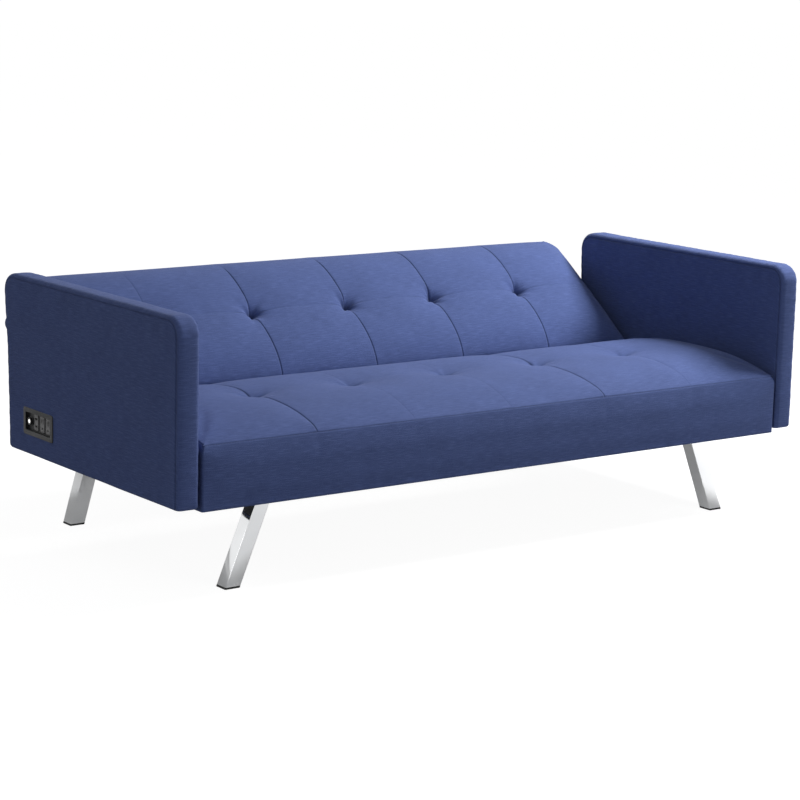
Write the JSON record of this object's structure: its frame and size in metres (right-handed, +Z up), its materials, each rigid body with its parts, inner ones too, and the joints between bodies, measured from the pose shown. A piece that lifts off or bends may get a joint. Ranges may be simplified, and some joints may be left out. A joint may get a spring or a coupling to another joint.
{
  "type": "futon sofa bed",
  "caption": "Convertible futon sofa bed with box arms, tufted seat, tufted reclining back, splayed square metal legs and a power panel in one arm.",
  "frame": {"origin": "on the floor under the middle of the sofa's bounding box, with the back reclined as stored", "axes": "+X to the right as seen from the front, -Y towards the sitter's front, +Z up"},
  "size_m": [1.8825, 0.988, 0.644],
  "materials": {
    "fabric": "matte",
    "lining": "matte",
    "foam": "matte",
    "wood": "matte",
    "steel": "satin",
    "zinc": "satin",
    "chrome": "polished",
    "rubber": "matte",
    "plastic": "satin",
    "socket": "satin",
    "lens": "gloss"
  },
  "bodies": {
    "base": {"leg_front_left": "chrome", "foot_front_left": "rubber", "leg_front_right": "chrome", "foot_front_right": "rubber", "leg_rear_left": "chrome", "foot_rear_left": "rubber", "leg_rear_right": "chrome", "foot_rear_right": "rubber", "frame_front_rail": "steel", "frame_middle_rail": "steel", "frame_rear_rail": "steel", "frame_left_rail": "steel", "frame_right_rail": "steel", "frame_centre_rail": "steel", "seat_cover": "fabric", "seat_dust_cover": "lining", "seat_board_front": "wood", "seat_board_rear": "wood", "seat_board_centre": "wood", "seat_board_left": "wood", "seat_board_right": "wood", "seat_deck": "wood", "seat_foam": "foam", "arm_left_cover": "fabric", "arm_left_padding": "foam", "arm_left_core": "wood", "arm_left_base_lining": "lining", "arm_bolt_left_front": "zinc", "arm_bolt_left_rear": "zinc", "arm_right_cover": "fabric", "arm_right_padding": "foam", "arm_right_core": "wood", "arm_right_base_lining": "lining", "arm_bolt_right_front": "zinc", "arm_bolt_right_rear": "zinc", "panel_bezel": "plastic", "panel_housing": "plastic", "panel_charging_insert": "socket", "panel_rear_outlet_insert": "socket", "panel_front_outlet_insert": "socket", "cord_gland": "rubber", "hinge_seat_plate_left": "zinc", "hinge_pin_left": "zinc", "hinge_seat_plate_right": "zinc", "hinge_pin_right": "zinc"},
    "back": {"back_cover": "fabric", "back_rear_lining": "lining", "back_frame_bottom": "steel", "back_frame_top": "steel", "back_frame_left": "steel", "back_frame_centre": "steel", "back_frame_right": "steel", "back_board": "wood", "back_foam": "foam", "hinge_back_plate_left": "zinc", "hinge_back_plate_right": "zinc"},
    "pawl_left": {"hinge_pawl_left": "zinc"},
    "pawl_right": {"hinge_pawl_right": "zinc"},
    "button": {"panel_button": "lens"}
  },
  "joints": [
    {"name": "back_recline", "type": "hinge", "parent": "base", "child": "back", "pos_m": [0, 0.07902, 0.346], "axis": [1, 0, 0], "range_deg": [-36, 40]},
    {"name": "pawl_left_release", "type": "hinge", "parent": "base", "child": "pawl_left", "pos_m": [-0.8788, 0.09002, 0.3], "axis": [1, 0, 0], "range_deg": [0, 15], "stiffness_Nm_per_rad": 0.2, "springref_deg": -17.19},
    {"name": "pawl_right_release", "type": "hinge", "parent": "base", "child": "pawl_right", "pos_m": [0.8788, 0.09002, 0.3], "axis": [1, 0, 0], "range_deg": [0, 15], "stiffness_Nm_per_rad": 0.2, "springref_deg": -17.19},
    {"name": "button_press", "type": "slide", "parent": "base", "child": "button", "axis": [1, 0, 0], "range_m": [0, 0.0025], "stiffness_N_per_m": 400}
  ]
}
